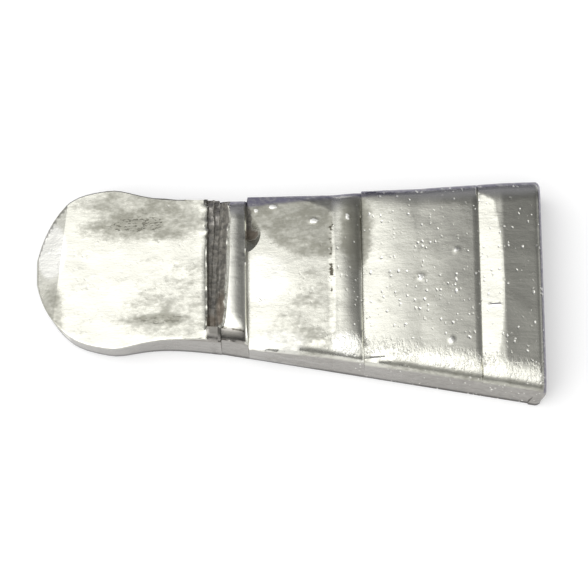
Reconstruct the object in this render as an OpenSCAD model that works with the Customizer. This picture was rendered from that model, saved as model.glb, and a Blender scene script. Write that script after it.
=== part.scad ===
// Steel wedge, pressed from a tapered flat bar with rounded upper edges.
//
// It lies on its flat underside: the thin tip at -X, the struck head at +X, the pressed
// face up. The origin is on the underside, in the middle of the length and of the whole
// width. Inside this file x runs from the tip (0) to the head (length), y is measured
// from the middle of the struck head, and wedge() moves it all to the origin.
//
// The bar is one loft. Pressing tools are then cut from it: each leaves a flat that rises
// towards the head and ends in a steep barb towards the tip, and the loft is a little
// wider beside each flat, where the pressed steel spread sideways.

/* [Bar] */
// Length from the thin tip to the struck head
length = 30; // [28:0.5:36]
// Width across the struck head
head_w = 13.3; // [12.5:0.1:14.5]
// Width across the ridge behind the tip
ridge_w = 8.7; // [8.2:0.1:9.4]
// Thickness
bar_t = 3.5; // [3.3:0.1:4.2]
// Angle between the bar's middle line and the way the tools are set
skew = 3.6; // [0:0.1:4.5]

/* [Edges of the bar] */
// How far in from each side the upper rounding starts
round_w = 1.5; // [1:0.1:2]
// How far down each side the upper rounding ends
round_h = 0.9; // [0.6:0.05:1.2]
// Rise of the middle of the top over the start of the rounding
crown = 0.06; // [0.02:0.01:0.12]
// Bevel along the bottom edges
bottom_bevel = 0.15; // [0.1:0.05:0.3]

/* [Barbs] */
// Slope of the pressed flats
press_angle = 7.5; // [6:0.5:9]
// Lean of the barbs' steep faces from upright
barb_lean = 12; // [6:1:18]
// First barb's place, in percent of the length
barb_1_at = 41.4; // [41:0.1:43]
// Length of the first barb's flat
barb_1_run = 5.1; // [4.4:0.1:5.3]
// Height of the small step where the first flat ends
barb_1_step = 0.07; // [0.03:0.01:0.12]
// Second barb's place, in percent of the length
barb_2_at = 64.2; // [63:0.1:67]
// Length of the second barb's flat
barb_2_run = 3.5; // [2.6:0.1:4.2]
// Third barb's place, in percent of the length
barb_3_at = 87.5; // [86:0.1:88]
// Length of the third barb's flat
barb_3_run = 1.45; // [1:0.05:1.7]
// Sideways spread of the steel where it was pressed down by a millimetre
spread = 0.5; // [0.3:0.02:0.7]

/* [Thin tip] */
// Thickness at the very end
tip_end_t = 0.95; // [0.8:0.05:1.2]
// Thickness where the tip's flat starts, behind the end bevel
tip_flat_t = 1.75; // [1.5:0.05:2]
// Thickness where the tip's flat ends, at the torn groove
tip_root_t = 2.95; // [2.7:0.05:3.05]
// Length of the end bevel
tip_bevel_run = 1.4; // [1:0.1:1.8]
// Turn of the end bevel in plan
tip_bevel_turn = 5; // [0:0.5:6]
// Width of the bulb that the pressing left
bulb_w = 10.1; // [9.4:0.1:10.4]
// Distance from the end to the bulb's widest place
bulb_at = 4.3; // [4:0.1:4.8]
// Radius of the end in plan
end_r = 5.4; // [5.2:0.1:6.2]
// How far the bulb's top stands out over its foot
tip_lean = 0.25; // [0.1:0.05:0.35]
// How far the end's underside is set back, all round the end
under_bevel = 0.5; // [0.2:0.05:0.6]

/* [Torn groove] */
// Where the tip's flat stops at the groove, in percent of the length
groove_at = 33.7; // [33.2:0.1:34]
// Width of the groove's floor at its narrow front end
groove_floor_w = 0.4; // [0.3:0.05:0.5]
// Depth of the floor under the tip's flat
groove_d = 0.4; // [0.2:0.05:0.6]
// Steel left standing at the groove's front end
groove_stop = 0.6; // [0.4:0.05:1]
// Angle at which the groove widens towards the back
groove_turn = 3; // [1:0.5:4]

/* [Chip in the first barb's flat] */
// Distance of its middle from the bar's middle line
chip_y = 2.4; // [1.8:0.1:2.8]
// Length along the barb
chip_len = 2.3; // [1.4:0.1:2.6]
// Width across the flat
chip_w = 0.6; // [0.4:0.05:0.8]
// Depth
chip_d = 0.4; // [0.2:0.05:0.5]

/* [Hidden] */
steel = [0.74, 0.73, 0.70];

far = 20;                 // reach of the pressing tools past the steel
step = 0.03;              // half the length in which the outline steps out at a barb
eps = 0.001;              // a length too small to see
step_angle = 20;          // slope of the small step at a flat's end
end_flat = 1.1;           // half the width of the small flat that ends the tip
blend = 0.2;              // softness of the join between the tip's end and its sides
bulb_fade = 2.4;          // distance in which half of the bulb's spread dies away
under_run = 2.4;          // length in which the bevel under the end runs out
groove_wall = 0.45;       // length of the groove's wall, up to the ridge
ridge_bevel = 0.3;        // length and height of the bevel along the ridge
land_run = 1.5;           // length in which the top falls ahead of a barb
land_fall = 0.16;         // that fall, for each millimetre of the barb's height
head_fall = 0.22;         // fall of the top from the last flat to the head
head_round_w = 0.4;       // length of the rounding over the struck head
head_round_h = 0.3;       // height of the rounding over the struck head
head_corner = 0.15;       // how far the head's corners are set back
round_steps = 10;         // points along each rounded edge
crown_steps = 3;          // points from there to the middle
end_steps = 16;           // sections along the tip's rounded end
neck_steps = 20;          // sections from there to the groove's wall
land_steps = 4;           // sections along the fall ahead of a barb
head_steps = 6;           // sections along the rounding over the head

barb_x = [for (p = [barb_1_at, barb_2_at, barb_3_at]) p / 100 * length];
barb_run = [barb_1_run, barb_2_run, barb_3_run];
slope = tan(press_angle);
end_step = [barb_1_step, 0, 0];
barb_h = end_step + barb_run * slope;
foot_x = barb_x + barb_h * tan(barb_lean);
flat_end_x = barb_x + barb_run;

groove_x = groove_at / 100 * length;
wall_x = groove_x + groove_floor_w + groove_wall;
land_x = [wall_x + ridge_bevel, flat_end_x[0], flat_end_x[1]];
end_x = bulb_at * 0.6;

// Half the width of the bar before pressing: a straight taper
function bar_half(x) =
    ridge_w / 2 + (head_w - ridge_w) / 2 * (x - wall_x) / (length - wall_x);

// The bar's middle line, which meets the middle of the struck head
function middle_y(x) = tan(skew) * (length - x);

// How deep the pressed flats lie under the bar's top
function pressed(x) = max([for (i = [0:2])
    x > foot_x[i] && x < flat_end_x[i] ? end_step[i] + (flat_end_x[i] - x) * slope : 0]);

// Height of the tip's flat
function tip_z(x) =
    tip_root_t - (groove_x - x) * (tip_root_t - tip_flat_t) / (groove_x - tip_bevel_run);

// How far the steel spread on each side where the tip was pressed thin
function bulb_spread(x) =
    (bulb_w / 2 - bar_half(bulb_at)) / (1 + pow(max(0, x - bulb_at) / bulb_fade, 2));

// Half the width of the tip: an arc round the end that runs softly into the bulb
function soft_min(a, b) = -blend * ln(exp(-a / blend) + exp(-b / blend));
function end_half(x) = let (middle = sqrt(pow(end_r, 2) - pow(end_flat, 2)))
    sqrt(pow(end_r, 2) - pow(max(0, middle - x), 2));
function tip_half(x) = soft_min(end_half(x), bar_half(x) + bulb_spread(x));

// Half-widths of a section, at its foot and where the upper rounding starts
function corner(x) = head_corner * pow(max(0, 1 - (length - x) / head_round_w), 4);
function foot_half(x) = x < wall_x
    ? max(end_flat / 3, tip_half(x) - tip_lean / 2 * (1 + bulb_spread(x) / bulb_spread(0))
        - under_bevel * pow(max(0, 1 - x / under_run), 2))
    : bar_half(x) - corner(x);
function top_half(x) = x < wall_x
    ? tip_half(x)
    : bar_half(x) + spread * pow(pressed(x), 2) - corner(x);

// Height of the top: it falls a little ahead of each barb, and towards the head
function land_drop(x) = max([for (i = [0:2])
    let (run = min(land_run, barb_x[i] - land_x[i]))
    x <= foot_x[i] ? land_fall * barb_h[i] * pow(max(0, 1 - (barb_x[i] - x) / run), 2) : 0]);
function head_drop(x) =
    head_fall * pow(max(0, x - flat_end_x[2]) / (length - flat_end_x[2]), 1.5)
    + head_round_h * (1 - sqrt(1 - pow(max(0, 1 - (length - x) / head_round_w), 2)));
function top_z(x) = bar_t - land_drop(x) - head_drop(x);

// Half of a section across the bar, from its foot over the rounded edge to its middle.
// The tip's sides reach their full width at the height of its flat.
function half_section(x) =
    let (
        foot = foot_half(x),
        top = top_half(x),
        z = top_z(x),
        side_z = z - round_h,
        inset = min(round_w, 0.8 * top)
    )
    concat(
        [[foot - bottom_bevel, 0], [foot, bottom_bevel]],
        [x < wall_x ? [top, min(tip_z(x), side_z - step)] : [(foot + top) / 2, side_z / 2]],
        [for (k = [0:round_steps]) let (a = 90 * k / round_steps)
            [top - inset * (1 - cos(a)), side_z + (round_h - crown) * sin(a)]],
        [for (k = [crown_steps - 1:-1:0]) let (t = k / crown_steps)
            [t * (top - inset), z - crown * t * t]]
    );

// A whole section as one ring of points in space
function ring(x) = let (half = half_section(x), n = len(half), middle = middle_y(x))
    concat(
        [for (p = half) [x, middle + p[0], p[1]]],
        [for (k = [n - 2:-1:0]) [x, middle - half[k][0], half[k][1]]]
    );

// Where the sections stand: close together round the tip's end, ahead of each barb and
// over the head, and in pairs where the outline steps out
stations = concat(
    [for (k = [0:end_steps - 1]) end_x * pow(k / end_steps, 2)],
    [for (k = [0:neck_steps]) end_x + (wall_x - step - end_x) * k / neck_steps],
    [wall_x + step],
    [for (i = [0:2]) each concat(
        [for (k = [land_steps:-1:0])
            barb_x[i] - min(land_run, 0.95 * (barb_x[i] - land_x[i])) * k / land_steps],
        [foot_x[i] - step, foot_x[i] + step, flat_end_x[i]]
    )],
    [for (k = [0:head_steps]) length - head_round_w * cos(90 * k / head_steps)]
);

// The middle of the whole width, between the furthest points at the back and the front
centre_y = (
    max([for (x = stations) middle_y(x) + top_half(x)])
    + min([for (x = stations) middle_y(x) - top_half(x)])
) / 2;

// The tapered bar before pressing, with the spread of each flat
module bar() {
    rings = [for (x = stations) ring(x)];
    n = len(rings[0]);
    last = len(rings) - 1;
    polyhedron(
        points = [for (r = rings) each r],
        faces = concat(
            [[for (k = [0:n - 1]) k]],
            [for (s = [0:last - 1]) for (k = [0:n - 1]) let (a = s * n + k, b = s * n + (k + 1) % n)
                [a, a + n, b + n, b]],
            [[for (k = [n - 1:-1:0]) last * n + k]]
        )
    );
}

// A tool right across the bar, with this profile in X and Z
module tool(profile, width = 2 * far) {
    rotate([90, 0, 0])
        linear_extrude(width, center = true)
            polygon(profile);
}

// Presses one flat, with the steep face of its barb at the flat's low end
module press_barb(i) {
    top = bar_t + 2;
    reach = 3;
    tool([
        [foot_x[i], bar_t - pressed(foot_x[i] + eps)],
        [flat_end_x[i], bar_t - end_step[i]],
        [flat_end_x[i] + end_step[i] / tan(step_angle) + eps, bar_t + eps * slope],
        [flat_end_x[i] + reach, top],
        [barb_x[i] - (top - bar_t) * tan(barb_lean), top]
    ]);
}

// Presses the tip thin: its flat, up to the groove, the turned bevel at its end, and the
// small bevel under it
module press_tip() {
    tool([
        [-1, tip_z(-1)],
        [groove_x, tip_z(groove_x)],
        [groove_x + 0.1, bar_t + 1],
        [-1, bar_t + 1]
    ]);
    bevel = (tip_flat_t - tip_end_t) / tip_bevel_run;
    translate([0, middle_y(0), 0])
        rotate([0, 0, -tip_bevel_turn])
            tool([
                [-2, tip_end_t - 2 * bevel],
                [tip_bevel_run + 1, tip_flat_t + bevel],
                [-2, bar_t]
            ]);
    tool([[-1, under_bevel + 1], [-1, -1], [under_bevel + 1, -1]]);
}

// Tears out the groove between the tip's flat and the ridge. It runs out over the back
// and stops short of the front side. A turned copy of the tool widens it to the back.
module tear_groove() {
    floor_z = tip_root_t - groove_d;
    for (turn = [0, groove_turn])
        translate([groove_x, middle_y(groove_x) - ridge_w / 2 + groove_stop, -turn / 50])
            rotate([0, 0, -turn])
                translate([0, far, 0])
                    tool([
                        [-0.05, tip_root_t],
                        [0.15, floor_z],
                        [groove_floor_w, floor_z],
                        [groove_floor_w + groove_wall, bar_t - ridge_bevel],
                        [groove_floor_w + groove_wall + ridge_bevel + 0.5, bar_t + 0.5],
                        [-0.05, bar_t + 1]
                    ]);
}

// Breaks a chip out of the first flat, against its barb
module break_chip() {
    plan_r = (pow(chip_w, 2) + pow(chip_len / 2, 2)) / (2 * chip_w);
    ball_r = (pow(plan_r, 2) + pow(chip_d, 2)) / (2 * chip_d);
    intersection() {
        translate([
            foot_x[0] + chip_w - plan_r,
            middle_y(foot_x[0]) + chip_y,
            bar_t - barb_h[0] - chip_d + ball_r
        ])
            sphere(ball_r, $fn = 64);
        translate([foot_x[0], 0, 0])
            cube([far, far, bar_t]);
    }
}

module wedge() {
    color(steel)
        translate([-length / 2, -centre_y, 0])
            difference() {
                bar();
                press_tip();
                tear_groove();
                for (i = [0:2]) press_barb(i);
                break_chip();
            }
}

wedge();
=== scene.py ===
"""Looks of the barbed steel handle wedge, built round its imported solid. Metres throughout."""

import math

import bpy
from mathutils import Matrix, Vector, noise


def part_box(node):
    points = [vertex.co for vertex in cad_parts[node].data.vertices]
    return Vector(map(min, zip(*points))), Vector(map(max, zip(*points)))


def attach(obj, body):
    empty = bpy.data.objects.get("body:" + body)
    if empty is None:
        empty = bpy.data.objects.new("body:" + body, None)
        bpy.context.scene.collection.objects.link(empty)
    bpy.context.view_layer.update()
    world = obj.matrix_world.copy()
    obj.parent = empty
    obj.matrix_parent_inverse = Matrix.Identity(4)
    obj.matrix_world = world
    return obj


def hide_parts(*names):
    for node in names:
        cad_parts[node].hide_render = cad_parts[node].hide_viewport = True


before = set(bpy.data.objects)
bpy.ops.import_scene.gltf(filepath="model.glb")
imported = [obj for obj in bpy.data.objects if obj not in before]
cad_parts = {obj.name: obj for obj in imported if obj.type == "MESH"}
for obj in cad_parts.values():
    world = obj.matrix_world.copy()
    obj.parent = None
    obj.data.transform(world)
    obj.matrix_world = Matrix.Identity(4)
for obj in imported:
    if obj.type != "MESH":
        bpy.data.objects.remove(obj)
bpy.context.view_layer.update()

MM = 0.001
LOW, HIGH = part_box("wedge")
LENGTH = HIGH.x - LOW.x
TOP = HIGH.z


# ---------------------------------------------------------------- camera

def make_camera():
    """A long lens, 20 degrees off straight down, from the wedge's front side."""
    elevation = math.radians(70)
    away = Vector((0, -math.cos(elevation), math.sin(elevation)))
    target = Vector((0, 0, 1.5 * MM))
    data = bpy.data.cameras.new("camera")
    data.sensor_width = 36
    data.lens = 275.5
    data.clip_start = 0.01
    data.clip_end = 5
    data.shift_x = 0.0083
    data.shift_y = 0.0028
    camera = bpy.data.objects.new("camera", data)
    camera.matrix_world = (
        Matrix.Translation(target + away * 0.2667)
        @ (-away).to_track_quat("-Z", "Y").to_matrix().to_4x4()
        @ Matrix.Rotation(math.radians(-0.78), 4, "Z")
    )
    bpy.context.scene.collection.objects.link(camera)
    bpy.context.scene.camera = camera


make_camera()


# ---------------------------------------------------------------- the wedge's mesh

# Places along the wedge, measured from the tip, as in its source
SKEW = math.tan(math.radians(3.6))
SLOPE = math.tan(math.radians(7.5))
FLATS = [                       # barb, end of its flat and height of the step there
    (LOW.x + 0.414 * LENGTH, LOW.x + 0.414 * LENGTH + 5.1 * MM, 0.07 * MM),
    (LOW.x + 0.642 * LENGTH, LOW.x + 0.642 * LENGTH + 3.5 * MM, 0),
    (LOW.x + 0.875 * LENGTH, LOW.x + 0.875 * LENGTH + 1.45 * MM, 0),
]
LIP = LOW.x + 0.337 * LENGTH
WALL = LIP + 0.85 * MM
TIP_FLAT = (LOW.x + 1.4 * MM, 1.75 * MM, 2.95 * MM)     # its start, height there and at the lip
GROOVE_FRONT = 0.6 * MM         # from the bar's front side to the groove's front end
GROOVE_SPREAD = math.tan(math.radians(3))
HEAD_W, RIDGE_W = 13.3 * MM, 8.7 * MM
ROUND_W, ROUND_H, CROWN = 1.5 * MM, 0.9 * MM, 0.06 * MM

# How the copied mesh is cut and softened
FINE = 0.11 * MM                # spacing of the cuts
LOOSE_SNAP, CLOSE_SNAP = 0.1 * MM, 0.01 * MM
FOOT_RIM, TIP_RIM = 0.15 * MM, 0.09 * MM
UNDERSIDE = 0.05 * MM           # faces that lie lower are the underside


def middle_y(x):
    """The bar's middle line, which meets the middle of the struck head."""
    return SKEW * (HIGH.x - x) + LOW.y + HEAD_W / 2


def half_width(x):
    return RIDGE_W / 2 + (HEAD_W - RIDGE_W) / 2 * (x - WALL) / (HIGH.x - WALL)


def front_inset(co):
    """How far behind the bar's front side a point is."""
    return co.y - (middle_y(co.x) - half_width(co.x))


def flat_z(i, x):
    """Height of a pressed flat's plane."""
    _, end, step = FLATS[i]
    return TOP - step - (end - x) * SLOPE


def tip_z(x):
    start, low, high = TIP_FLAT
    return low + (x - start) * (high - low) / (LIP - start)


def smooth_step(low, high, value):
    t = min(1.0, max(0.0, (value - low) / (high - low)))
    return t * t * (3 - 2 * t)


def wave(co, size, seed=0.0):
    """Smooth noise from 0 to 1, with swells of about this size."""
    return min(1.0, max(0.0, 0.5 + 0.6 * noise.noise(co / size + Vector((seed, 2 * seed, 0)))))


def around(co, x, y, size_x, size_y):
    """1 at a place on the wedge, seen from above, fading to 0 at its rim."""
    away = math.hypot((co.x - x * MM) / (size_x * MM), (co.y - y * MM) / (size_y * MM))
    return 1 - smooth_step(0.45, 1.0, away)


def select_none():
    bpy.ops.object.select_all(action="DESELECT")


def edit(piece):
    select_none()
    piece.select_set(True)
    bpy.context.view_layer.objects.active = piece
    bpy.ops.object.mode_set(mode="EDIT")
    bpy.ops.mesh.select_mode(type="FACE")
    bpy.ops.mesh.select_all(action="SELECT")


def by_a_riser(place):
    """Whether a plane across x would cut slivers off one of the barbs' steep faces."""
    return any(barb - 0.04 * MM < place < barb + 0.09 * MM for barb, _, _ in FLATS)


def cut(axis, start, stop, spacing, snap=LOOSE_SNAP):
    """Cuts what is left in view in edit mode with evenly spaced planes across one axis."""
    normal = Vector((0, 0, 0))
    normal[axis] = 1
    count = max(1, round((stop - start) / spacing))
    for k in range(1, count):
        point = Vector((0, 0, 0))
        point[axis] = start + (stop - start) * k / count
        if axis == 0 and by_a_riser(point.x):
            continue
        bpy.ops.mesh.select_all(action="SELECT")
        bpy.ops.mesh.bisect(plane_co=point, plane_no=normal, threshold=snap)


def copy_of_node():
    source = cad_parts["wedge"]
    piece = source.copy()
    piece.data = source.data.copy()
    piece.name = "wedge_steel"
    piece.data.name = "wedge_steel"
    piece.parent = None
    for key in list(piece.keys()):
        del piece[key]
    piece.data.materials.clear()
    bpy.context.scene.collection.objects.link(piece)
    edit(piece)
    bpy.ops.mesh.customdata_custom_splitnormals_clear()
    bpy.ops.mesh.remove_doubles(threshold=0.0002 * MM)
    bpy.ops.mesh.dissolve_limited(angle_limit=math.radians(0.3))
    bpy.ops.mesh.select_all(action="DESELECT")
    bpy.ops.object.mode_set(mode="OBJECT")
    return piece


def soften_rim(piece, wanted, radius, clamped=True):
    """Rounds the edges all round the wanted faces."""
    for face in piece.data.polygons:
        face.select = wanted(face)
    bpy.ops.object.mode_set(mode="EDIT")
    bpy.ops.mesh.region_to_loop()
    bpy.ops.mesh.bevel(offset=radius, segments=2, affect="EDGES", clamp_overlap=clamped)
    bpy.ops.mesh.select_mode(type="FACE")
    bpy.ops.mesh.select_all(action="DESELECT")
    bpy.ops.object.mode_set(mode="OBJECT")


def edit_only(piece, wanted):
    """Edit mode, with only the wanted faces in view."""
    bpy.context.view_layer.objects.active = piece
    bpy.ops.object.mode_set(mode="EDIT")
    bpy.ops.mesh.reveal(select=False)
    bpy.ops.mesh.select_mode(type="FACE")
    bpy.ops.object.mode_set(mode="OBJECT")
    for face in piece.data.polygons:
        face.select = wanted(face)
    bpy.ops.object.mode_set(mode="EDIT")
    bpy.ops.mesh.hide(unselected=True)


def refine(piece, spacing=FINE):
    """Fine, even faces all over, apart from the underside, and finer ones in the groove."""
    edit_only(piece, lambda face: abs(face.normal.z) < 0.7)
    cut(2, LOW.z, HIGH.z, 2 * spacing)
    bpy.ops.object.mode_set(mode="OBJECT")
    edit_only(piece, lambda face: face.normal.z > -0.9 or face.center.z > UNDERSIDE)
    cut(0, LOW.x, HIGH.x, spacing)
    cut(1, LOW.y, HIGH.y, spacing)
    bpy.ops.object.mode_set(mode="OBJECT")
    edit_only(piece, lambda face: in_groove(face.center) > 0.05)
    cut(0, LIP, LIP + 1.5 * MM, spacing / 2, CLOSE_SNAP)
    cut(1, LOW.y, HIGH.y, spacing / 2, CLOSE_SNAP)
    bpy.ops.mesh.reveal(select=False)
    bpy.ops.mesh.select_all(action="SELECT")
    bpy.ops.mesh.remove_doubles(threshold=0.002 * MM)
    bpy.ops.object.mode_set(mode="OBJECT")


def paint(piece, name, weight):
    """A vertex group whose weights follow a rule of place, from 0 to 1."""
    group = piece.vertex_groups.new(name=name)
    for vertex in piece.data.vertices:
        w = weight(vertex.co)
        if w > 0.001:
            group.add([vertex.index], min(1.0, w), "REPLACE")
    return group


def apply_modifier(piece, modifier):
    select_none()
    piece.select_set(True)
    bpy.context.view_layer.objects.active = piece
    bpy.ops.object.modifier_apply(modifier=modifier.name)


def push(piece, name, weight, depth, direction="Z"):
    """Moves the steel along one axis by a depth times a rule of place."""
    group = paint(piece, name, weight)
    modifier = piece.modifiers.new(name, "DISPLACE")
    modifier.vertex_group = group.name
    modifier.direction = direction
    modifier.mid_level = 0
    modifier.strength = depth
    apply_modifier(piece, modifier)
    piece.vertex_groups.clear()


def on_flat(co):
    """Which pressed flat a point lies on, or None."""
    for i, (barb, end, _) in enumerate(FLATS):
        if barb < co.x < end + 0.01 * MM and -0.25 * MM < co.z - flat_z(i, co.x) < 0.01 * MM:
            return i
    return None


def bow(co):
    """The flats are a little domed along the wedge."""
    i = on_flat(co)
    if i is None or i == 2:
        return 0
    barb, end, _ = FLATS[i]
    half = (end - barb) / 2
    return max(0, 1 - ((co.x - barb - half) / half) ** 2) * half / (2.5 * MM)


def bar_top(co):
    """Height of the bar's top before pressing, over its rounded edge."""
    inset = half_width(co.x) - abs(co.y - middle_y(co.x))
    if inset < 0:
        return 0
    if inset < ROUND_W:
        return TOP - ROUND_H + (ROUND_H - CROWN) * math.sqrt(1 - (1 - inset / ROUND_W) ** 2)
    reach = half_width(co.x) - ROUND_W
    return TOP - CROWN * ((co.y - middle_y(co.x)) / reach) ** 2


def droop(co):
    """The back of each flat, and of the tip, bends down a little."""
    y = co.y - middle_y(co.x)
    amount, start, top = 0, 0, TOP
    if co.x < LIP + 0.01 * MM:
        amount, start, top = 0.5, 2.4 * MM, tip_z(co.x)
    for i, (barb, end, _) in enumerate(FLATS[:2]):
        if barb + 0.005 * MM < co.x < end + 1.5 * MM:
            amount = (1.0, 0.5)[i] * (1 - smooth_step(end, end + 1.5 * MM, co.x))
            start, top = (-0.6 * MM, 1.4 * MM)[i], min(TOP, flat_z(i, co.x))
    return amount * min(1, (max(0, y - start) / (6 * MM)) ** 2) * min(1, co.z / top) ** 3


RUN_OUT = 2.2 * MM


def run_out(co):
    """The second flat runs out softly into the top."""
    if co.z < TOP - ROUND_H:
        return 0
    gap = (flat_z(1, co.x) - bar_top(co)) / SLOPE
    if co.x < FLATS[1][0] + 0.05 * MM or co.x > FLATS[2][0] - 0.02 * MM:
        return 0
    past_barb = smooth_step(0, 1, (co.x - FLATS[1][0]) / (0.6 * MM))
    return max(0, 1 - abs(gap) / RUN_OUT) ** 2 * past_barb


def groove_back(co):
    """How far behind the groove's front end a point is."""
    return co.y - (middle_y(LIP) - RIDGE_W / 2 + GROOVE_FRONT)


def in_groove(co):
    """1 on the torn steel between the tip's flat and the ridge."""
    wide = WALL + 0.2 * MM + max(0, groove_back(co)) * GROOVE_SPREAD
    on_lip = co.x < LIP + 0.12 * MM and co.z > tip_z(LIP) - 0.07 * MM
    if on_lip or not LIP - 0.03 * MM < co.x < wide:
        return 0
    low = smooth_step(TOP - 0.24 * MM, TOP - 0.45 * MM, co.z)
    low *= smooth_step(0.02 * MM, 0.25 * MM, 2 * half_width(co.x) - front_inset(co))
    low *= smooth_step(-0.2 * MM, 0.3 * MM, groove_back(co))
    return low * smooth_step(0.6 * MM, 1.6 * MM, co.z)


def lip(co):
    """The edge where the tip's flat was torn off, ragged towards the back."""
    if abs(co.x - LIP) > 0.3 * MM or abs(co.z - tip_z(LIP)) > 0.2 * MM:
        return 0
    near = (1 - abs(co.x - LIP) / (0.3 * MM)) * smooth_step(-1 * MM, 0.5 * MM, groove_back(co))
    ragged = smooth_step(4.6 * MM, 6.4 * MM, groove_back(co))
    swells = (0.22 - 0.1 * ragged) * wave(co, 0.8 * MM, 21)
    return near * (swells + 0.85 * ragged * wave(co, 0.3 * MM, 27))


def dome(co):
    """The land ahead of the second barb is a little domed."""
    start, stop = FLATS[0][1] + 0.15 * MM, FLATS[1][0]
    if co.z < TOP - ROUND_H / 2 or not start < co.x < stop:
        return 0
    swell = math.sin(math.pi * ((co.x - start) / (stop - start)) ** 1.1)
    return swell * smooth_step(0.8 * MM, 3 * MM, front_inset(co))


def worn_ridge(co):
    """The ridge falls to the groove, most of all at its front end."""
    if co.x > FLATS[0][0] - 0.01 * MM or co.x < WALL - 0.1 * MM or co.z < TOP - 0.7 * MM:
        return 0
    along = groove_back(co) + GROOVE_FRONT
    across = max(0, co.x - WALL - max(0, groove_back(co)) * GROOVE_SPREAD)
    shoulder = max(0, 1 - across / (0.95 * MM)) ** 2
    corner = max(0, 1 - across / (1.25 * MM) - along / (4.6 * MM)) ** 1.6
    return min(1, max(0.85 * shoulder, 1.5 * corner))


def worn_foot(co):
    """The front corner of the struck head is knocked back at its foot."""
    if co.x < HIGH.x - 0.7 * MM:
        return 0
    return max(0, 1 - front_inset(co) / (0.9 * MM)) * smooth_step(2 * MM, 0.2 * MM, co.z)


def worn_barbs(co):
    """The sharp top edge of each barb is rubbed over."""
    for barb, _, _ in FLATS:
        if barb - 0.21 * MM < co.x < barb + 0.03 * MM and co.z > bar_top(co) - 0.12 * MM:
            return ((co.x - barb) / (0.24 * MM) + 0.88) ** 2
    return 0


NICKS = (       # x, y, half length, half width of the deeper nicks, in mm
    (1.5, 4.05, 0.3, 0.2), (3.5, 4.2, 0.17, 0.24),
    (-0.9, 5.1, 0.32, 0.17), (-1.9, 4.95, 0.14, 0.16),
    (7.8, 0.35, 0.24, 0.24), (12.1, -1.45, 0.45, 0.09),
    (9.5, -3.6, 0.18, 0.26), (9.9, 2.0, 0.14, 0.2),
)


def nick(co):
    """Steel thrown up by a few deeper nicks."""
    if co.z < TOP - 1.6 * MM:
        return 0
    return max(around(co, *place) for place in NICKS)


def dig(co):
    """The last flat is pressed a little steeper than the others."""
    barb, end, _ = FLATS[2]
    if barb + 0.005 * MM < co.x < end and TOP - ROUND_H < co.z < flat_z(2, co.x) + 0.02 * MM:
        return (end - co.x) / (end - barb)
    return 0


def burr(co):
    """The pressed steel hangs over the front side in a ragged edge."""
    for i, (barb, end, _) in enumerate(FLATS[:2]):
        if barb + 0.05 * MM < co.x < end - 0.6 * MM and abs(co.z - flat_z(i, co.x)) < 0.16 * MM:
            depth = (middle_y(co.x) - half_width(co.x)) - co.y
            return smooth_step(-0.15 * MM, 0.05 * MM, depth) * wave(co, 0.45 * MM, 33)
    return 0


def uneven(co):
    """Slow swells all over, as on steel that was sheared and tumbled."""
    return smooth_step(0.1 * MM, 0.5 * MM, co.z) * wave(co, 1.3 * MM, 5)


wedge = copy_of_node()
soften_rim(wedge, lambda face: face.normal.z < -0.9 and face.center.z < UNDERSIDE, FOOT_RIM)
soften_rim(wedge, lambda face: face.normal.z > 0.3 and face.center.x < LIP, TIP_RIM, False)
refine(wedge)
push(wedge, "droop of the back", droop, -0.22 * MM)
push(wedge, "bow of the flats", bow, 0.035 * MM)
push(wedge, "flat running out", run_out, -SLOPE * RUN_OUT / 4)
push(wedge, "dome", dome, 0.068 * MM)
push(wedge, "worn ridge", worn_ridge, -0.15 * MM)
push(wedge, "worn foot", worn_foot, -0.35 * MM, "X")
push(wedge, "worn barbs", worn_barbs, -0.07 * MM)
push(wedge, "nicks", nick, 0.03 * MM)
push(wedge, "last flat", dig, -0.06 * MM)
push(wedge, "burr out", burr, -0.17 * MM, "Y")
push(wedge, "lip up", lip, 0.12 * MM)
push(wedge, "lip out", lip, 0.22 * MM, "X")
for axis, seed, depth in (("X", 3.1, 0.08 * MM), ("Y", 7.7, 0.1 * MM), ("Z", 12.9, 0.2 * MM)):
    push(wedge, "torn " + axis,
         lambda co: in_groove(co) * wave(co, 0.6 * MM, seed), 0.9 * depth, axis)
    push(wedge, "torn back " + axis,
         lambda co: in_groove(co) * wave(co, 0.33 * MM, seed + 50), -0.3 * depth, axis)
push(wedge, "uneven", uneven, 0.02 * MM)

select_none()
wedge.select_set(True)
bpy.context.view_layer.objects.active = wedge
bpy.ops.object.shade_smooth_by_angle(angle=math.radians(20))
for edge in wedge.data.edges:
    if any(in_groove(wedge.data.vertices[end].co) > 0.1 for end in edge.vertices):
        edge.use_edge_sharp = False


def mark(piece, name, rule):
    """Keeps a rule of place on the mesh, for the material."""
    layer = piece.data.attributes.new(name, "FLOAT", "POINT")
    for vertex in piece.data.vertices:
        layer.data[vertex.index].value = rule(vertex.co)


def painted_back_rim(co):
    """Painted reflection: a dark bluish band on the rim along the back and over the struck head.
    """
    if co.x < WALL or co.z < TOP - 1.5 * MM:
        return 0
    inset = half_width(co.x) - (co.y - middle_y(co.x))
    back = smooth_step(0.6 * MM, 0.35 * MM, inset)
    head = smooth_step(HIGH.x - 0.22 * MM, HIGH.x - 0.12 * MM, co.x)
    return max(back, head) * smooth_step(TOP - 1.5 * MM, TOP - 1.1 * MM, co.z)


def in_stop(co):
    """Whether a point is far enough forward, between lip and first barb, to end the groove."""
    return LIP + 0.02 * MM < co.x < FLATS[0][0] - 0.02 * MM and front_inset(co) < 1.2 * MM


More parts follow.
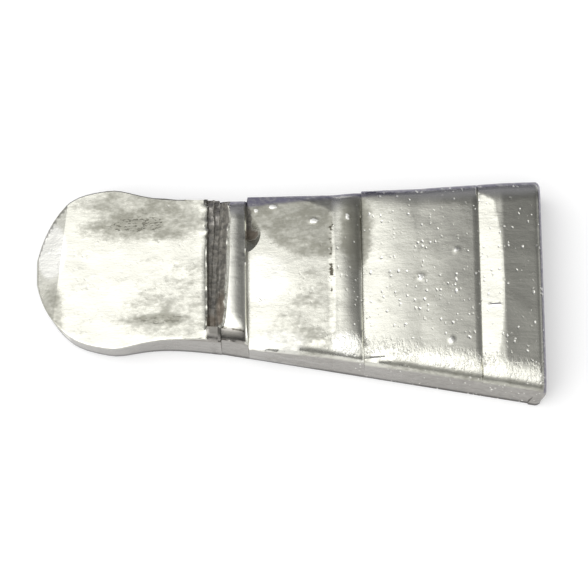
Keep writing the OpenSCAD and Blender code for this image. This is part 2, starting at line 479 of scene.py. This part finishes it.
def on_side(co):
    """1 on the sheared sides and ends below the rounded edges, 2 on the groove's stop."""
    if in_stop(co):
        block = smooth_step(0.04 * MM, 0.12 * MM, front_inset(co))
        block *= smooth_step(TOP - 1.5 * MM, TOP - 1.1 * MM, co.z)
        return smooth_step(0.66 * MM, 0.5 * MM, front_inset(co)) * (1 + block)
    if co.x < WALL:
        rim = min(tip_z(co.x), tip_z(LIP)) if co.x > LOW.x + 2 * MM else 0.9 * MM
        return smooth_step(0.04 * MM, 0.12 * MM, rim - co.z)
    inside = half_width(co.x) - abs(co.y - middle_y(co.x))
    if inside < 0.1 * MM or co.x > HIGH.x - 0.05 * MM or co.z < UNDERSIDE:
        return smooth_step(TOP - ROUND_H + 0.1 * MM, TOP - ROUND_H - 0.1 * MM, co.z)
    return 0


def crease(co):
    """A dotted row of painted shade in the crease where the first flat runs out."""
    if co.z < TOP - 0.2 * MM:
        return 0
    along = smooth_step(-0.9 * MM, -0.2 * MM, co.y) * smooth_step(4.3 * MM, 3.4 * MM, co.y)
    across = max(0, 1 - abs(co.x - FLATS[0][1]) / (0.15 * MM))
    return 2.2 * along * across * max(0, 2 * wave(co, 0.13 * MM, 9) - 0.55)


def film_on_first_flat(co):
    """Grey over the back and, more lightly, the head's side of the first flat."""
    x, y = co.x / MM, co.y / MM
    if not -2.6 < x < 2.6:
        return 0
    back = smooth_step(-0.35, 0.5, y - max(2.1 - 0.94 * (x + 0.06), 1.75 - 0.1 * x))
    right = smooth_step(0.3, 1.5, 1.04 * (x + 2.07) - 2.0 - y) * smooth_step(-2.2, -0.8, x)
    return max(0.95 * back, 0.5 * right)


def painted_shade(co):
    """Painted shade: a dark line under the front end of the ridge, and the dotted row in the
    crease.
    """
    line = 0
    if WALL < co.x < FLATS[0][0] - 0.05 * MM:
        line = smooth_step(0.16 * MM, 0.02 * MM, abs(front_inset(co) - 0.58 * MM)) * 0.5
    return max(line, 0.62 * min(1, crease(co)))


def film(co):
    """Where a dull film and pits have stayed on the steel."""
    if co.x < TIP_FLAT[0] and co.y > 1.6 * MM or on_flat(co) == 2:
        return -0.4
    front_edge = smooth_step(0.45 * MM, 0.2 * MM, front_inset(co))
    places = (
        around(co, -8.5, 5.6, 5.5, 1.6) * 0.8, around(co, -8.3, 4.4, 5.2, 1.7) * 0.95,
        around(co, -8.9, 4.3, 2.8, 0.8) * 1.2, around(co, -7.7, -1.75, 3.0, 0.6) * 1.02,
        around(co, -6.5, 0.5, 3.0, 3.0) * 0.3, around(co, -7.0, -1.5, 4.2, 2.2) * 0.62,
        around(co, 4.0, 3.6, 1.3, 3.8) * 1.3,
        around(co, -14.2, -1.7, 1.2, 3.6) * 0.8,
        around(co, 1.6, -1.2, 2.2, 4.0) * 0.42, film_on_first_flat(co),
        around(co, 8.0, 1.0, 2.0, 5.0) * 0.15,
        around(co, -4.45, -2.7, 0.6, 0.7),
        0.84 * front_edge * smooth_step(2 * MM, 9 * MM, co.x),
    )
    return max(places)


def rubbed(co):
    """Scuffed steel over the front rounding."""
    inset = front_inset(co)
    band = smooth_step(1.9 * MM, 0.8 * MM, inset) * smooth_step(0.1 * MM, 0.4 * MM, inset)
    return band * smooth_step(1 * MM, 3.5 * MM, co.x)


def scale(co):
    """Brown scale: in the torn groove and in the chip."""
    chip = 0
    if co.z < flat_z(0, co.x) - 0.03 * MM and co.x > FLATS[0][0]:
        chip = max(around(co, -2.5, 4.3, 0.5, 1.5), around(co, -2.2, 3.45, 0.7, 0.45))
        chip *= 0.55 + 0.45 * wave(co, 0.3 * MM, 41)
    rounded = ((co.x - LIP - 0.45 * MM) / (0.5 * MM)) ** 2 * 0.35 * MM
    front = smooth_step(-0.1 * MM, 0.15 * MM, groove_back(co) - rounded)
    thin = 1 - 0.6 * around(co, -4.5, 5.0, 0.9, 1.8)
    return max(min(1, 2.2 * in_groove(co)) * front * thin, chip)


def warm(co):
    """The browner part of the scale, at the front of the groove and in the chip."""
    return max(around(co, -4.0, -1.4, 0.4, 1.5), around(co, -4.6, -2.0, 0.4, 0.6),
               around(co, -2.2, 3.5, 0.6, 0.5))


def polish_and_highlight(co):
    """Rubbed bright steel at the nicks, and painted highlights on the end bevel's upper part, the
    ridge and patches of the top.
    """
    ridge = land = flat = 0
    if WALL < co.x < FLATS[0][0] and co.z > TOP - 0.22 * MM and front_inset(co) > GROOVE_FRONT:
        ridge = 0.35
    if co.z > TOP - ROUND_H:
        land = 0.4 * around(co, 3.3, -3.7, 1.4, 1.2)
        flat = 0.37 * max(around(co, -1.5, 0.6, 2.4, 2.6), around(co, -0.8, -3.6, 2.8, 1.4))
    bevel = 0.8 * around(co, -14.1, 3.0, 1.2, 2.4) * smooth_step(0.85 * MM, 1.0 * MM, co.z)
    return max(nick(co), bevel, ridge, land, flat)


mark(wedge, "film", film)
mark(wedge, "side", on_side)
mark(wedge, "painted_back_rim", painted_back_rim)
mark(wedge, "painted_shade", painted_shade)
mark(wedge, "polish_and_highlight", polish_and_highlight)
mark(wedge, "warm", warm)
mark(wedge, "scale", scale)
mark(wedge, "rubbed", rubbed)


# ---------------------------------------------------------------- materials

# Colours of the steel
CLEAN, DULL = (0.64, 0.635, 0.57, 1), (0.3, 0.295, 0.25, 1)
# The first is bare steel, also used for painted highlights and glints.
BARE_AND_HIGHLIGHT, STREAK = (0.85, 0.845, 0.8, 1), (0.42, 0.41, 0.36, 1)
# The second colour here is painted shade, for the line under the ridge's front end and the crease.
PIT, SHADE_DARK = (0.16, 0.155, 0.125, 1), (0.085, 0.078, 0.06, 1)
SHEARED_LIGHT, SHEARED_DARK = (0.325, 0.31, 0.287, 1), (0.262, 0.25, 0.232, 1)
# The second colour here is painted shade, darkening the sides at their foot.
STOP, FOOT_SHADE = (0.17, 0.163, 0.148, 1), (0.05, 0.045, 0.04, 1)
# Painted dark bluish reflection for the back rim and the head.
BACK_RIM_REFLECTION = (0.15, 0.145, 0.19, 1)
SCALE_DARK, SCALE_LIGHT = (0.115, 0.11, 0.098, 1), (0.21, 0.198, 0.172, 1)
SCALE_BROWN = (0.2, 0.15, 0.105, 1)


class Group:
    """A node group under construction, with named inputs and outputs."""

    def __init__(self, name, inputs, outputs):
        self.tree = bpy.data.node_groups.new(name, "ShaderNodeTree")
        for label, kind, value in inputs:
            socket = self.tree.interface.new_socket(
                label, in_out="INPUT", socket_type="NodeSocket" + kind)
            if value is not None:
                socket.default_value = value
        for label, kind in outputs:
            self.tree.interface.new_socket(label, in_out="OUTPUT", socket_type="NodeSocket" + kind)
        self.start = self.tree.nodes.new("NodeGroupInput").outputs
        self.end = self.tree.nodes.new("NodeGroupOutput").inputs


def plug(tree, value, socket):
    """Links a socket, or sets a plain value."""
    if isinstance(value, bpy.types.NodeSocket):
        tree.links.new(value, socket)
    elif value is not None:
        socket.default_value = value


def math_node(tree, how, a, b=None, c=None, clamp=False):
    node = tree.nodes.new("ShaderNodeMath")
    node.operation = how
    node.use_clamp = clamp
    for value, socket in zip((a, b, c), node.inputs):
        plug(tree, value, socket)
    return node.outputs[0]


def remap(tree, value, low, high, to_low=0.0, to_high=1.0, smooth=True):
    node = tree.nodes.new("ShaderNodeMapRange")
    node.interpolation_type = "SMOOTHSTEP" if smooth else "LINEAR"
    for item, socket in zip((value, low, high, to_low, to_high), node.inputs):
        plug(tree, item, socket)
    return node.outputs[0]


def stretched(tree, vector, size):
    """The same place, measured in lengths of this size along x, y and z."""
    node = tree.nodes.new("ShaderNodeVectorMath")
    node.operation = "DIVIDE"
    plug(tree, vector, node.inputs[0])
    plug(tree, size, node.inputs[1])
    return node.outputs[0]


def clouds(tree, vector, detail=3.0, roughness=0.55):
    node = tree.nodes.new("ShaderNodeTexNoise")
    node.inputs["Scale"].default_value = 1
    node.inputs["Detail"].default_value = detail
    node.inputs["Roughness"].default_value = roughness
    plug(tree, vector, node.inputs["Vector"])
    return node.outputs["Fac"]


def blend_colours(tree, fac, a, b, how="MIX"):
    node = tree.nodes.new("ShaderNodeMix")
    node.data_type = "RGBA"
    node.blend_type = how
    for value, socket in zip((fac, a, b), (node.inputs[0], node.inputs[6], node.inputs[7])):
        plug(tree, value, socket)
    return node.outputs[2]


def make_dings():
    """Small round dents, some cells of a random pattern having one each."""
    group = Group(
        "dings",
        (("Place", "Vector", None), ("Share", "Float", 0.3), ("Radius", "Float", 0.3)),
        (("Dent", "Float"),),
    )
    tree = group.tree
    wobble = tree.nodes.new("ShaderNodeTexNoise")
    wobble.inputs["Scale"].default_value = 2.2
    wobble.inputs["Detail"].default_value = 4
    plug(tree, group.start["Place"], wobble.inputs["Vector"])
    shifted = tree.nodes.new("ShaderNodeVectorMath")
    shifted.operation = "MULTIPLY_ADD"
    plug(tree, wobble.outputs["Color"], shifted.inputs[0])
    shifted.inputs[1].default_value = (0.6, 0.6, 0.6)
    plug(tree, group.start["Place"], shifted.inputs[2])
    cells = tree.nodes.new("ShaderNodeTexVoronoi")
    cells.inputs["Scale"].default_value = 1
    plug(tree, shifted.outputs[0], cells.inputs["Vector"])
    split = tree.nodes.new("ShaderNodeSeparateColor")
    plug(tree, cells.outputs["Color"], split.inputs[0])
    has = math_node(tree, "LESS_THAN", split.outputs[0], group.start["Share"])
    radius = math_node(tree, "MULTIPLY", group.start["Radius"],
                       remap(tree, split.outputs[1], 0, 1, 0.35, 1.6))
    bowl = remap(tree, cells.outputs["Distance"], radius, 0.0)
    plug(tree, math_node(tree, "MULTIPLY", has, bowl), group.end["Dent"])
    return group.tree


def use_group(tree, group, **values):
    node = tree.nodes.new("ShaderNodeGroup")
    node.node_tree = group
    for label, value in values.items():
        plug(tree, value, node.inputs[label])
    return node.outputs


def make_steel(dings):
    material = bpy.data.materials.new("pressed_steel")
    material.use_nodes = True
    tree = material.node_tree
    tree.nodes.clear()
    out = tree.nodes.new("ShaderNodeOutputMaterial")
    bsdf = tree.nodes.new("ShaderNodeBsdfPrincipled")
    tree.links.new(bsdf.outputs[0], out.inputs[0])
    place = tree.nodes.new("ShaderNodeTexCoord").outputs["Object"]

    def attribute(name):
        node = tree.nodes.new("ShaderNodeAttribute")
        node.attribute_name = name
        return node.outputs["Fac"]

    dull, rust, rub, side = (attribute(name) for name in ("film", "scale", "rubbed", "side"))
    scuffs = clouds(tree, stretched(tree, place, (0.2 * MM, 0.42 * MM, 0.42 * MM)), 4, 0.7)
    swirls = clouds(tree, stretched(tree, place, (1.6 * MM, 0.9 * MM, 1 * MM)), 5, 0.65)
    flecks = clouds(tree, stretched(tree, place, (0.34 * MM, 0.22 * MM, 0.3 * MM)), 3, 0.6)
    streaks = clouds(tree, stretched(tree, place, (1.5 * MM, 0.07 * MM, 0.2 * MM)), 3, 0.6)
    specks = clouds(tree, stretched(tree, place, (0.3 * MM, 0.13 * MM, 0.2 * MM)), 2, 0.6)
    grain = clouds(tree, stretched(tree, place, (0.07 * MM, 0.07 * MM, 0.07 * MM)), 2, 0.6)

    # how dull the steel is here, from 0 to 1
    cover = math_node(tree, "ADD", math_node(tree, "MULTIPLY", dull, 0.75),
                      remap(tree, swirls, 0.42, 0.72, -0.08, 0.3))
    broken = math_node(tree, "ADD", cover, remap(tree, flecks, 0.3, 0.7, -0.2, 0.2, False))
    cover = remap(tree, broken, 0.05, 1.0)
    axes = tree.nodes.new("ShaderNodeSeparateXYZ")
    plug(tree, place, axes.inputs[0])
    thin_end = remap(tree, axes.outputs[0], -1 * MM, -3 * MM)
    pitted = math_node(tree, "MULTIPLY", remap(tree, dull, 0.9, 1.1), thin_end)
    pits = math_node(tree, "MULTIPLY", remap(tree, specks, 0.53, 0.62), pitted)

    colour = blend_colours(tree, cover, CLEAN, DULL)
    streaked = math_node(tree, "MULTIPLY", remap(tree, streaks, 0.45, 0.75), 0.25)
    colour = blend_colours(tree, streaked, colour, STREAK)
    colour = blend_colours(tree, math_node(tree, "MULTIPLY", pits, 0.85), colour, PIT)
    sheared = blend_colours(tree, remap(tree, streaks, 0.35, 0.7), SHEARED_LIGHT, SHEARED_DARK)
    # Painted shade: the sides darken towards the floor, in place of the contact shadow at their
    # foot.
    near_floor_shade = remap(tree, axes.outputs[2], 0.65 * MM, 0.25 * MM)
    sheared = blend_colours(tree, near_floor_shade, sheared, FOOT_SHADE)
    sheared = blend_colours(tree, remap(tree, side, 1.0, 2.0), sheared, STOP)
    colour = blend_colours(tree, side, colour, sheared)
    # Painted reflection: the dark bluish band along the back rim and over the head.
    rim_reflection = math_node(tree, "MULTIPLY", attribute("painted_back_rim"),
                      remap(tree, flecks, 0.25, 0.6, 0.6, 1.0))
    colour = blend_colours(tree, rim_reflection, colour, BACK_RIM_REFLECTION)
    browns = blend_colours(tree, remap(tree, flecks, 0.4, 0.62), SCALE_DARK, SCALE_LIGHT)
    warmth = math_node(tree, "MULTIPLY", attribute("warm"), 0.45)
    browns = blend_colours(tree, warmth, browns, SCALE_BROWN)
    patchy = remap(tree, flecks, 0.3, 0.7, -0.2, 0.2, False)
    rusty = remap(tree, math_node(tree, "ADD", rust, patchy), 0.25, 0.6)
    colour = blend_colours(tree, rusty, colour, browns)
    plug(tree, math_node(tree, "MULTIPLY_ADD", rusty, -0.7, 1.0), bsdf.inputs["Metallic"])
    patchy = remap(tree, flecks, 0.3, 0.7, -0.3, 0.3, False)
    # Painted shade: the dark line under the ridge's front end and the dotted crease.
    shaded = remap(tree, math_node(tree, "ADD", attribute("painted_shade"), patchy), 0.3, 0.6)
    colour = blend_colours(tree, shaded, colour, SHADE_DARK)

    spots = stretched(tree, place, (0.24 * MM, 0.3 * MM, 0.3 * MM))
    small = use_group(tree, dings, Place=spots, Share=0.5, Radius=0.3)["Dent"]
    spots = stretched(tree, place, (0.7 * MM, 0.95 * MM, 0.9 * MM))
    large = use_group(tree, dings, Place=spots, Share=0.35, Radius=0.14)["Dent"]
    dents = math_node(tree, "ADD", math_node(tree, "MULTIPLY", small, 0.6), large)
    dents = math_node(tree, "MULTIPLY", dents, remap(tree, swirls, 0.42, 0.55, 0.15, 1.0))
    thick_end = remap(tree, axes.outputs[0], 1 * MM, 5 * MM, 0.22, 1.0)
    dents = math_node(tree, "MULTIPLY", dents, thick_end)
    # Painted glints in the dents, and bare steel with painted highlights where marked.
    bare_and_glint = math_node(tree, "MULTIPLY", remap(tree, dents, 0.08, 0.35), 0.85)
    bare_and_glint = math_node(tree, "MAXIMUM", bare_and_glint, remap(tree, attribute("polish_and_highlight"), 0.2, 0.6))
    colour = blend_colours(tree, bare_and_glint, colour, BARE_AND_HIGHLIGHT)
    plug(tree, colour, bsdf.inputs["Base Color"])

    roughness = remap(tree, cover, 0, 1, 0.24, 0.42)
    rougher = math_node(tree, "MULTIPLY", rusty, 0.25)
    roughness = math_node(tree, "ADD", roughness, rougher, clamp=True)
    plug(tree, roughness, bsdf.inputs["Roughness"])

    height = math_node(tree, "SUBTRACT", math_node(tree, "MULTIPLY", grain, 0.05), dents)
    height = math_node(tree, "ADD", height, math_node(tree, "MULTIPLY", streaks, 0.03))
    height = math_node(tree, "SUBTRACT", height, math_node(tree, "MULTIPLY", pits, 0.35))
    height = math_node(tree, "ADD", height, math_node(tree, "MULTIPLY", swirls, 0.5))
    scuffed = math_node(tree, "MULTIPLY", remap(tree, scuffs, 0.45, 0.62), rub)
    scuffed = math_node(tree, "MULTIPLY", scuffed, remap(tree, swirls, 0.35, 0.6, 0.25, 1.0))
    height = math_node(tree, "SUBTRACT", height, math_node(tree, "MULTIPLY", scuffed, 0.6))
    bump = tree.nodes.new("ShaderNodeBump")
    bump.inputs["Strength"].default_value = 1
    bump.inputs["Distance"].default_value = 0.03 * MM
    plug(tree, height, bump.inputs["Height"])
    plug(tree, bump.outputs[0], bsdf.inputs["Normal"])
    return material


wedge.data.materials.append(make_steel(make_dings()))


# ---------------------------------------------------------------- floor, light

def make_floor():
    bpy.ops.mesh.primitive_circle_add(
        vertices=96, radius=0.15, fill_type="NGON", location=(0, 0, LOW.z))
    floor = bpy.context.object
    floor.name = "floor"
    material = bpy.data.materials.new("white_card")
    material.use_nodes = True
    tree = material.node_tree
    tree.nodes.clear()
    out = tree.nodes.new("ShaderNodeOutputMaterial")
    add = tree.nodes.new("ShaderNodeAddShader")
    diffuse = tree.nodes.new("ShaderNodeBsdfDiffuse")
    glow = tree.nodes.new("ShaderNodeEmission")
    rays = tree.nodes.new("ShaderNodeLightPath")
    mix = tree.nodes.new("ShaderNodeMixShader")
    plain = tree.nodes.new("ShaderNodeBsdfDiffuse")
    plain.inputs["Color"].default_value = (0.8, 0.8, 0.8, 1)
    diffuse.inputs["Color"].default_value = (0.7, 0.7, 0.7, 1)
    glow.inputs["Strength"].default_value = 0.36
    link = tree.links.new
    link(diffuse.outputs[0], add.inputs[0])
    link(glow.outputs[0], add.inputs[1])
    seen = tree.nodes.new("ShaderNodeMath")
    seen.operation = "MAXIMUM"
    link(rays.outputs["Is Camera Ray"], seen.inputs[0])
    link(rays.outputs["Is Glossy Ray"], seen.inputs[1])
    link(seen.outputs[0], mix.inputs[0])
    link(plain.outputs[0], mix.inputs[1])
    link(add.outputs[0], mix.inputs[2])
    link(mix.outputs[0], out.inputs[0])
    floor.data.materials.append(material)


make_floor()


def make_world():
    world = bpy.data.worlds.new("studio")
    bpy.context.scene.world = world
    world.use_nodes = True
    tree = world.node_tree
    tree.nodes.clear()
    link = tree.links.new
    out = tree.nodes.new("ShaderNodeOutputWorld")
    mix = tree.nodes.new("ShaderNodeMixShader")
    rays = tree.nodes.new("ShaderNodeLightPath")
    white = tree.nodes.new("ShaderNodeBackground")
    room = tree.nodes.new("ShaderNodeBackground")
    white.inputs["Color"].default_value = (1, 1, 1, 1)
    link(rays.outputs["Is Camera Ray"], mix.inputs[0])
    link(room.outputs[0], mix.inputs[1])
    link(white.outputs[0], mix.inputs[2])
    link(mix.outputs[0], out.inputs[0])
    way = tree.nodes.new("ShaderNodeTexCoord")

    def toward(axis):
        """Cosine between the direction and an axis."""
        dot = tree.nodes.new("ShaderNodeVectorMath")
        dot.operation = "DOT_PRODUCT"
        dot.inputs[1].default_value = Vector(axis).normalized()
        link(way.outputs["Generated"], dot.inputs[0])
        return dot.outputs["Value"]

    def halved(value):
        """A cosine from -1 to 1 as a number from 0 to 1."""
        node = tree.nodes.new("ShaderNodeMath")
        node.operation = "MULTIPLY_ADD"
        link(value, node.inputs[0])
        node.inputs[1].default_value = 0.5
        node.inputs[2].default_value = 0.5
        return node.outputs[0]

    def levels(value, stops):
        """Brightness, or a colour, that changes with a value through the given stops."""
        ramp = tree.nodes.new("ShaderNodeValToRGB")
        while len(ramp.color_ramp.elements) < len(stops):
            ramp.color_ramp.elements.new(0.5)
        for element, (place, colour) in zip(ramp.color_ramp.elements, stops):
            element.position = place
            element.color = (*colour, 1) if isinstance(colour, tuple) else (*[colour] * 3, 1)
        link(value, ramp.inputs[0])
        return ramp.outputs["Color"]

    def combine(how, a, b):
        mixer = tree.nodes.new("ShaderNodeMix")
        mixer.data_type = "RGBA"
        mixer.blend_type = how
        mixer.inputs[0].default_value = 1
        mixer.clamp_result = False
        link(a, mixer.inputs[6])
        link(b, mixer.inputs[7])
        return mixer.outputs[2]

    left = levels(halved(toward((-0.8, 0, 0.6))), (
        (0.1, 0.8), (0.28, 0.4), (0.42, 0.12), (0.675, 0.12), (0.725, 0.17), (0.77, 0.33),
        (0.815, 0.48), (0.845, 0.65), (0.8625, 0.95), (0.89, 1.0)))
    back = levels(toward((0, 1, 0)), (
        (0.365, 1.0), (0.405, 0.55), (0.45, 0.42), (0.55, 0.44), (0.8, 0.4)))
    front = levels(toward((0, -0.42, 0.91)), ((0.78, 0.0), (0.95, 0.46)))
    height = levels(toward((0, -0.25, 0.97)), ((0.05, 0.22), (0.42, 1.0)))
    far = levels(toward((0, 1, 0)), ((0.55, 0.0), (0.85, (0.11, 0.11, 0.13))))
    colour = combine("ADD", combine("MULTIPLY", left, back), front)
    link(combine("ADD", combine("MULTIPLY", colour, height), far), room.inputs["Color"])
    room.inputs["Strength"].default_value = 2.2


make_world()

bpy.context.scene.view_settings.view_transform = "Standard"

# ---------------------------------------------------------------- hand the piece over

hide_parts("wedge")
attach(wedge, "root")
